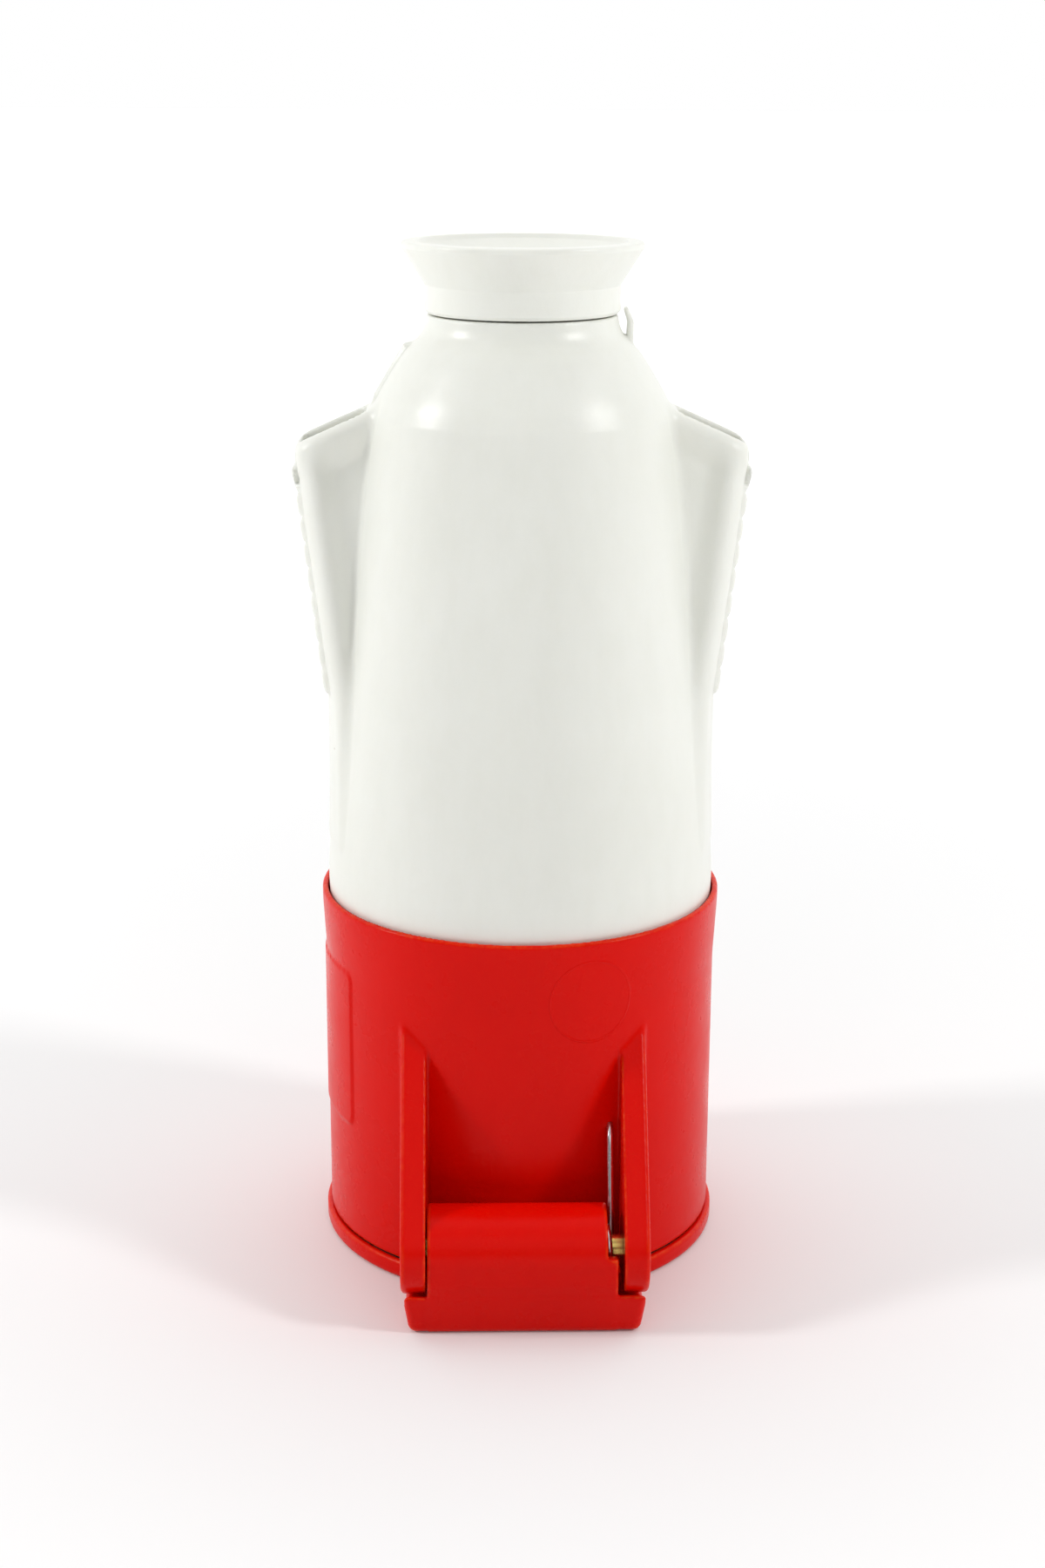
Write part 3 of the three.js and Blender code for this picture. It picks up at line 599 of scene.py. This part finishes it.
def handle_field():
    barrel = curved(SKIN[:6], 6)[:-1] + curved(SKIN[5:], 5)
    spigot = filleted([(0, 51), (33.7, 51, 0.4), (33.7, 63.6), (33.7, 64)])[1:-1]
    neck = [(14.3, 170.4), (14.3, 175.2), (14.0, 175.5), (-9, 175.5)]
    skin = Outline([(-9, 51), *spigot, *barrel, *neck])
    hollow = Outline(filleted(CAVITY))
    crown = arc((37, wing_top(37) - 3.96), 3.6, -12, 65, 10)
    blade = Outline([(20, 76), (46, 76), (46, 140), *crown, (20, wing_top(20))])
    ribs = []
    for i in range(9 * 10 + 1):
        z = 104 + i * 0.45
        ribs.append((wing_edge(z) + 0.9 * abs(math.sin(math.pi * i / 10)) ** 0.8, z))
    grip = Outline([(33.5, 103.5), *ribs, (33.5, 145)])
    slot = Outline(filleted([
        (wing_edge(110) - 1.8, 110), (wing_edge(147) - 1.8, 147), (wing_edge(147) - 1.8, 158),
        (27.4, 158), (27.4, 149), (29.5, 130), (32.3, 110),
    ]))
    ridge = Outline([
        (22, 151), (26.6, 151.5), (27.0, 153.4), (25.9, 156.8), (21.4, 164.3),
        (20.6, 165.5), (19.0, 165.7), (17, 165.6), (17, 158),
    ])
    tongue = Outline(filleted([
        (19.9, 163), (19.3, 166), (19.4, 169.2), (18.2, 171.9, 0.3), (17.8, 171.7, 0.3),
        (17.7, 171), (18.3, 169.2), (18.2, 166.4), (17.8, 163),
    ]))

    def field(x, y, z):
        radius = np.hypot(x, y)
        side, front = np.abs(x), np.abs(y)
        body = skin(radius, z)
        turn = np.mod(z - np.arctan2(y, x) * (3 / (2 * np.pi)), 3) - 1.5
        thread = radius - 14.35 - 0.75 * np.clip(1.3 - np.abs(turn) / 0.75, 0, 1)
        body = either(body, both(thread, slab(z, 171.2, 175.1), 0.3), 0.1)
        for place in LUG_PLACES:
            out, across = faced(x, y, place)
            lug = both(both(radius - 34.5, 33 - radius), slab(z, 51.6, 53.2), 0.2)
            lug = both(lug, np.abs(across) - 4, 0.3)
            body = np.minimum(body, both(lug, -out))
        up = up_wing(z)
        dish = ramp(side, wing_edge(z) - 2.2, wing_edge(z) - 8)
        dish = dish * ramp(z, 84, 118) * ramp(wing_top(side) - z, 1.6, 8)
        wing = both(radius - wing_edge(z), front - (wing_half(z) - 1.8 * dish), 1.6 + 2.9 * up)
        wing = both(wing, blade(side, z), 1.9)
        rib = both(both(grip(side, z), radius - wing_edge(z) - 0.9, 0.3), front - (8 - 3 * up), 0.8)
        wing = either(wing, rib, 0.25)
        body = either(body, wing, 1.2)
        body = either(body, both(ridge(-x, z), front - 0.8, 0.35), 0.4)
        body = either(body, both(tongue(x, z), front - 2, 0.3), 0.3)
        room = 1.6 + 3.3 * up - 0.7 * dish
        body = less(body, both(slot(side, z), front - room, 1.3), 0.4)
        body = less(body, ball(x, y, z, (-34.2, -4.6, wing_top(34.2) + 0.1), 0.65), 0.25)
        body = less(body, capsule(side, y, z, (39.3, -4.9, 141.8), (39.7, -4.9, 146.4), 0.5), 0.2)
        return less(body, hollow(radius, z), 0.3)

    return field


handle = netted("handle_shell", handle_field(), (-43, -37, 50.2), (43, 37, 176.5), 0.52)
finished(handle, WHITE, "white_plastic", "connector", "handle_housing")

# ---------------------------------------------------------------- cable gland

NUT = [
    (15.4, 170.7), (16.6, 170.7, 0.5), (17.1, 171.3, 0.5), (17.1, 175.6, 0.3), (21.1, 181.9, 0.4),
    (21.0, 182.9, 0.6), (18.3, 183, 0.5), (17.5, 182.2, 1.2), (12.2, 179, 3), (10.2, 177.6, 0.5),
    (10.2, 177.0, 0.2), (15.4, 177.0),
]


def nut_outline():
    """The nut's section, with the crests of its thread on the inside wall."""
    outline = filleted(NUT, 6)
    thread = []
    for down in np.arange(0.4, 6.2, 0.2):
        crest = 0.35 * max(0, math.cos(2 * math.pi * down / 1.5))
        thread.append((15.4 - crest, 177.0 - down))
    return outline + thread


nut = sharpened(lathed("gland_nut_turned", nut_outline(), 176))
finished(nut, WHITE, "white_plastic", "nut", "gland_nut")

WASHER = [(10.6, 175.8, 0.2), (15, 175.8, 0.2), (15, 176.7, 0.2), (10.6, 176.7, 0.2)]
thrust = sharpened(lathed("thrust_washer", filleted(WASHER), 96))
finished(thrust, NATURAL, "natural_plastic", "thrust_ring", "gland_thrust_ring")


def cage_field(x, y, z):
    radius = np.hypot(x, y)
    body = both(both(radius - 11.2, 9.6 - radius, 0.2), slab(z, 166.8, 175.4), 0.3)
    for place in (0, 60, 120):
        _, across = faced(x, y, place)
        body = less(body, both(np.abs(across) - 0.7, 169.5 - z), 0.15)
    return body


cage = netted("clamp_cage", cage_field, (-12, -12, 166.2), (12, 12, 176), 0.35)
finished(cage, NATURAL, "natural_plastic", "connector", "gland_clamp_cage")

GROMMET = [
    (5, 166.8, 0.4), (9.3, 166.8, 0.4), (9.3, 175, 0.5),
    (6.4, 175, 0.5), (5.3, 173.4, 0.8), (5, 172, 0.8),
]
grommet = sharpened(lathed("cable_grommet", filleted(GROMMET), 120))
finished(grommet, RUBBER, "black_rubber", "connector", "gland_grommet")

SEAL = [(34.2, 61.8, 0.4), (35.2, 61.8, 0.4), (35.2, 63.3, 0.4), (34.2, 63.3, 0.4)]
seal = lathed("housing_seal", filleted(SEAL), 128)
finished(seal, RUBBER, "black_rubber", "connector", "housing_seal_ring")

# ---------------------------------------------------------------- socket shroud


def about_hinge(distance, degrees):
    """The y and z at a distance from the hinge pin in a direction."""
    a = math.radians(degrees)
    return (HINGE[0] + distance * math.cos(a), HINGE[1] + distance * math.sin(a))


def from_hinge(y, z):
    return np.hypot(y - HINGE[0], z - HINGE[1])


def shroud_field():
    shell = Outline(filleted([
        (32.3, 3.6, 0.3), (SHROUD_RADIUS, 3.6, 0.4), (SHROUD_RADIUS, 54, 40),
        (36.6, 64.5, 40), (36.6, 66.8, 0.5), (35.6, 66.8, 0.3),
        (35.6, 61.5), (34, 61.5), (34, 44), (25.4, 44, 0.3), (25.4, 40, 0.3), (32.3, 40),
    ]))
    reach = math.hypot(-28 - HINGE[0], 51 - HINGE[1])
    away = math.degrees(math.atan2(51 - HINGE[1], -28 - HINGE[0]) + math.acos(7.9 / reach))
    cheek = Outline([(-28, 51), *arc(HINGE, 7.9, away, 262, 24), (-43.4, 6.0), (-28, 6)])

    def field(x, y, z):
        radius = np.hypot(x, y)
        side = np.abs(x)
        body = shell(radius, z)
        blade = both(both(cheek(y, z), side - 21.6, 0.9), 17.2 - side, 0.3)
        body = either(body, both(blade, 33.6 - radius), 0.6)
        along = np.abs(np.arctan2(y, -x) * SHROUD_RADIUS) - 19.6
        panel = both(along, slab(z, 25.4, 55.1), 1.6)
        body = either(body, both(radius - 36.32, both(panel, 35 - radius), 0.14), 0.1)
        hole = both(from_hinge(y, z) - 2.25, side - 20.3)
        body = less(body, hole, 0.15)
        body = less(body, both(both(side - 3.8, slab(y, 31, 34.2), 0.3), z - 40), 0.3)
        ring = both(radius - 34.9, 33 - radius)
        body = less(body, both(ring, slab(z, 51.3, 53.5)))
        for place in LUG_PLACES:
            out, across = faced(x, y, place + BAYONET_TURN)
            entry = both(both(ring, slab(z, 51.3, 62.5)), np.abs(across) - 4.5)
            body = less(body, both(entry, -out))
            body = less(body, both(from_flange_screw(x, y, place) - 1.3, slab(z, 41, 46)))
        return body

    return field


shroud = netted("shroud_shell", shroud_field(), (-37.5, -53.2, 2.9), (37.5, 37.5, 67.5), 0.5)
finished(shroud, RED, "red_plastic", "connector", "socket_shroud")

# ---------------------------------------------------------------- lid and hinge

FRONT = [(-48.4, 0), (-49.0, 0.25), (-49.5, 0.9), (-51.6, 10)]


def lid_field():
    disc = Outline(filleted([(-9, 0), (36.8, 0, 0.9), (36.8, 3.3, 0.45), (-9, 3.3)]))
    groove = Outline(filleted([(31.1, 1.8, 0.2), (35.4, 1.8, 0.2), (35.4, 5), (31.1, 5)]))
    lug = Outline([
        (-30, 0), *FRONT, *arc(HINGE, 7.6, 190, 10, 40), (-36.7, 12), (-36.7, 3.3), (-30, 3.3),
    ])
    start = 270 - math.degrees(math.acos((HINGE[1] - 7.6) / 8.7))
    relief = arc(HINGE, 8.7, start, 270, 8)
    foot = Outline([
        (-28, 0), *FRONT[:3], (-51, 7.6), *relief, (-37.2, HINGE[1] - 8.7), (-36.9, 3.3), (-28, 3.3),
    ])
    sweep = ((0, 0), (4.4, -20), (15, 53), (20, 120), (15, 172))
    leg = Outline([about_hinge(distance, degrees) for distance, degrees in sweep])

    def field(x, y, z):
        radius = np.hypot(x, y)
        side = np.abs(x)
        body = disc(radius, z)
        base = both(foot(y, z), side - (20.2 + 1.1 * np.clip(z / 7.6, 0, 1)), 1.3)
        body = either(body, base, 0.5)
        body = either(body, both(lug(y, z), slab(x, -16.9, 16.1), 0.45), 0.35)
        ledge = both(both(side - 8, slab(y, -25, -22.6), 0.6), slab(z, 1, 6.4), 0.6)
        body = either(body, ledge, 0.4)
        tab = both(both(side - 7, slab(y, 34, 41.5), 2), slab(z, 0.4, 3), 0.6)
        body = either(body, tab, 0.5)
        body = less(body, groove(radius, z))
        hinge = from_hinge(y, z)
        body = less(body, both(hinge - 2.4, slab(x, -18, 18)), 0.3)
        body = less(body, both(hinge - 4.8, 9.2 - x))
        body = less(body, both(leg(y, z), 14.25 - x, 0.2), 0.25)
        tail = both(both(slab(x, 9.25, 11.25), slab(y, -41.8, -39.8)), slab(z, 6.9, 13.9))
        return less(body, tail)

    return field


lid = netted("flap_lid", lid_field(), (-37.8, -53, -0.9), (37.8, 42.6, 22.4), 0.5)
finished(lid, RED, "red_plastic", "lid", "hinge_lid")

GASKET = [
    (31.3, 2, 0.2), (35.2, 2, 0.2), (35.2, 3.3, 0.5),
    (33.9, 3.0, 0.4), (32.6, 3.3, 0.5), (31.3, 3.2, 0.4),
]
gasket = lathed("lid_seal", filleted(GASKET), 160)
finished(gasket, RUBBER, "black_rubber", "lid", "lid_gasket")


def along_hinge(vertices):
    """Lays a piece that was turned about Z along the hinge pin."""
    x, y, z = vertices[..., 0], vertices[..., 1], vertices[..., 2]
    return np.stack([z, HINGE[0] + x, HINGE[1] + y], -1)


PIN = [(0.02, -20.1), (2.1, -20.1, 0.3), (2.1, 20.1, 0.3), (0.02, 20.1)]
pin = sharpened(lathed("hinge_pin_turned", filleted(PIN), 48, along_hinge))
finished(pin, PIN_BRASS, "pin_brass", "connector", "hinge_pin")

COIL = 3.4  # radius of the spring's coil
PITCH = 1.28
TURNS = 1420  # degrees that the wire turns through
LEG_X = 15.3
WIRE = 0.6


def on_coil(degrees):
    y, z = about_hinge(COIL, degrees)
    return (LEG_X - PITCH * (TURNS - degrees) / 360, y, z)


def spring_leg():
    x, y, z = on_coil(TURNS)
    heading = math.radians(TURNS + 90)
    points = [(x, y + s * math.cos(heading), z + s * math.sin(heading)) for s in np.arange(0.6, 18.6, 0.6)]
    for i in range(1, 9):
        bend = math.radians(7 * i)
        last = points[-1]
        y = last[1] + 0.45 * math.cos(heading - bend)
        z = last[2] + 0.45 * math.sin(heading - bend)
        points.append((x, y, z))
    return points


coil_path = [on_coil(a) for a in np.arange(170, TURNS + 1, 10)]
coil = wire("spring_coil", coil_path + spring_leg(), WIRE)
finished(coil, SPRING_STEEL, "spring_steel", "connector", "hinge_spring")
tail_x, tail_y, tail_z = on_coil(0)
tail_path = [(tail_x, tail_y, tail_z - s) for s in np.arange(6, 0.1, -0.6)]
tail_path += [on_coil(a) for a in np.arange(0, 181, 10)]
tail = wire("spring_tail", tail_path, WIRE)
finished(tail, SPRING_STEEL, "spring_steel", "lid")

# ---------------------------------------------------------------- contact insert

# Each contact's angle, its sleeve's outer radius and its bore's radius.
CONTACTS = {
    "pe": (90, 4.0, 3.0),
    "l1": (162, 3.5, 2.5),
    "l2": (234, 3.5, 2.5),
    "l3": (306, 3.5, 2.5),
    "n": (18, 3.5, 2.5),
}


def insert_field():
    body_outline = Outline(filleted([
        (-9, 8), (25, 8, 0.9), (25, 44.3), (33, 44.3, 0.3), (33, 48.3, 0.4), (-9, 48.3),
    ]))

    def field(x, y, z):
        radius = np.hypot(x, y)
        body = body_outline(radius, z)
        hub = both(radius - 6.2, slab(z, 47, 58), 0.4)
        turned = []
        for angle, sleeve, bore in CONTACTS.values():
            for offset in (0, 36):
                turned.append((*faced(x, y, angle + offset), sleeve, bore, offset))
        for out, across, *_, offset in turned:
            if offset:
                body = less(body, both(np.hypot(out - 17.7, across) - 4.3, 12 - z))
        body = either(body, hub, 0.3)
        for out, across, *_, offset in turned:
            if offset:
                wall = both(np.abs(across) - 0.8, slab(out, 5, 24), 0.3)
                body = either(body, both(wall, slab(z, 47, 58), 0.3), 0.2)
        body = less(body, both(radius - 4, 12 - z))
        for out, across, sleeve, bore, offset in turned:
            if not offset:
                rod = np.hypot(out - PITCH_CIRCLE, across)
                body = less(body, both(rod - bore - 0.4, z - 12), 0.5)
                body = less(body, both(rod - sleeve - 1.1, 10.6 - z))
        for place in LUG_PLACES:
            body = less(body, both(from_flange_screw(x, y, place) - 1.9, 43 - z), 0.2)
        return body

    return field


insert = netted("contact_carrier", insert_field(), (-34, -34, 7.2), (34, 34, 58.8), 0.55)
finished(insert, BLACK, "black_plastic", "connector", "contact_insert")


def sleeve_field(angle, sleeve, bore):
    outline = Outline(filleted([
        (bore, 11, 0.3), (sleeve, 11, 0.5), (sleeve, 48.6),
        (sleeve + 1.7, 48.6, 0.3), (sleeve + 1.7, 60, 0.4), (2.3, 60, 0.3),
        (2.3, 51), (-9, 51), (-9, 46), (bore, 46),
    ]), 0.1)

    def field(x, y, z):
        out, across = faced(x, y, angle)
        out = out - PITCH_CIRCLE
        body = outline(np.hypot(out, across), z)
        body = less(body, both(np.abs(across) - 0.4, z - 30), 0.1)
        return less(body, both(np.hypot(across, z - TERMINAL_HEIGHT) - 2.2, -out), 0.1)

    return field


for name, (angle, sleeve, bore) in CONTACTS.items():
    a = math.radians(angle)
    centre = np.array([PITCH_CIRCLE * math.cos(a), PITCH_CIRCLE * math.sin(a)])
    reach = sleeve + 2.2
    contact = netted(
        f"contact_{name}", sleeve_field(angle, sleeve, bore),
        (*(centre - reach), 10.4), (*(centre + reach), 60.7), 0.34,
    )
    finished(contact, CONTACT_BRASS, "contact_brass", "connector", f"contact_sleeve_{name}")

    def laid_out(vertices, a=a):
        """Lays a piece that was turned about Z along a radius, at the height of the terminals."""
        x, y, z = vertices[..., 0], vertices[..., 1], vertices[..., 2] + PITCH_CIRCLE
        plan_x = z * math.cos(a) - x * math.sin(a)
        plan_y = z * math.sin(a) + x * math.cos(a)
        return np.stack([plan_x, plan_y, y + TERMINAL_HEIGHT], -1)

    seat = sleeve + 1.7
    head = [
        (0.4, seat + 1.2), (0.4, 0.4), (1.9, 0.8, 0.2), (1.9, seat + 0.4),
        (2.8, seat + 0.4, 0.2), (2.8, seat + 2, 0.5), (0.6, seat + 2, 0.2),
    ]
    screw = sharpened(lathed(f"clamp_screw_{name}", filleted(head), 40, laid_out))
    finished(screw, PLATED_STEEL, "plated_steel", "connector", f"terminal_screw_{name}")

    def on_contact(vertices, centre=centre):
        return vertices + np.array([centre[0], centre[1], 0])

    inner, outer = sleeve + 0.3, sleeve + 0.8
    clip = [(inner, 13, 0.15), (outer, 13, 0.15), (outer, 17, 0.15), (inner, 17, 0.15)]
    ring = sharpened(lathed(f"clip_ring_{name}", filleted(clip), 48, on_contact))
    finished(ring, SPRING_STEEL, "spring_steel", "connector", f"contact_clip_{name}")

for number, place in enumerate(LUG_PLACES, 1):
    a = math.radians(place)

    def on_flange(vertices, a=a):
        return vertices + np.array([FLANGE_CIRCLE * math.cos(a), FLANGE_CIRCLE * math.sin(a), 0])

    shape = [
        (0.4, 49.6), (0.4, 41.8), (1, 42.4), (1, 48.6),
        (2.9, 48.6, 0.2), (2.9, 49.5, 0.5), (2.2, 50.3, 0.4), (0.5, 50.3, 0.2),
    ]
    screw = sharpened(lathed(f"flange_screw_{number}", filleted(shape), 40, on_flange))
    finished(screw, PLATED_STEEL, "plated_steel", "connector", f"insert_screw_{number}")

# ---------------------------------------------------------------- floor and light


def floor():
    """A wide flat floor, divided more finely near the object."""
    count = 48
    line = np.linspace(-1, 1, count)
    line = np.sign(line) * np.abs(line) ** 3 * 12
    x, y = np.meshgrid(line, line, indexing="ij")
    vertices = np.stack([x, y, np.full_like(x, -0.0001)], -1).reshape(-1, 3) / MM
    i, j = np.meshgrid(np.arange(count - 1), np.arange(count - 1), indexing="ij")
    first = i * count + j
    faces = np.stack([first, first + count, first + count + 1, first + 1], -1)
    return mesh_object("floor", vertices, faces.reshape(-1, 4))


ground = floor()
paper = Finish("pale_floor")
sheen = paper.band(paper.noise(4, 2, 0.5), 0.3, 0.7, 0.55, 0.62)
distance = paper.node("ShaderNodeVectorMath", {0: paper.place}, operation="LENGTH").outputs["Value"]
# Painted glow: the floor gives off light, faint near the object and strong far from it, so that it fades
# into the white room.
painted_floor_glow = paper.band(distance, 0.1, 1.3, 0.04, 0.62)
paper.apply(Base_Color=(0.8, 0.8, 0.8, 1), Roughness=sheen, Specular_IOR_Level=0.1)
paper.apply(Emission_Color=(1, 1, 1, 1), Emission_Strength=painted_floor_glow)
ground.data.materials.append(paper.material)


def softbox(name, place, size, power, target=(0, 0, 0.1)):
    light = bpy.data.lights.new(name, "AREA")
    light.shape = "RECTANGLE"
    light.size, light.size_y = size
    light.energy = power
    lamp = bpy.data.objects.new(name, light)
    lamp.location = place
    lamp.rotation_euler = (Vector(place) - Vector(target)).to_track_quat("Z", "Y").to_euler()
    bpy.context.scene.collection.objects.link(lamp)


softbox("softbox_left", (-0.98, -0.14, 0.66), (0.15, 0.24), 4.5)
softbox("softbox_right", (0.86, -0.38, 0.7), (0.15, 0.24), 4.1)
softbox("softbox_front", (-0.1, -1.05, 0.7), (1.2, 0.8), 1.7)

# The room: a bright wall behind the object, a dimmer studio in front of it and a pale ceiling.
world = bpy.data.worlds.new("studio")
world.use_nodes = True
sky = world.node_tree
ray = sky.nodes.new("ShaderNodeTexCoord")
split = sky.nodes.new("ShaderNodeSeparateXYZ")
sky.links.new(ray.outputs["Generated"], split.inputs[0])


def level(value, low, high, start, end):
    node = sky.nodes.new("ShaderNodeMapRange")
    for key, number in {"From Min": low, "From Max": high, "To Min": start, "To Max": end}.items():
        node.inputs[key].default_value = number
    sky.links.new(value, node.inputs["Value"])
    return node.outputs[0]


room = sky.nodes.new("ShaderNodeMath")
room.operation = "ADD"
sky.links.new(level(split.outputs[1], -0.35, 0.45, 0.09, 1.0), room.inputs[0])
sky.links.new(level(split.outputs[2], 0.35, 1.0, 0.0, 0.5), room.inputs[1])
sky.links.new(room.outputs[0], sky.nodes["Background"].inputs["Strength"])
sky.nodes["Background"].inputs["Color"].default_value = (1, 1, 1, 1)
bpy.context.scene.world = world
bpy.context.scene.view_settings.view_transform = "Standard"
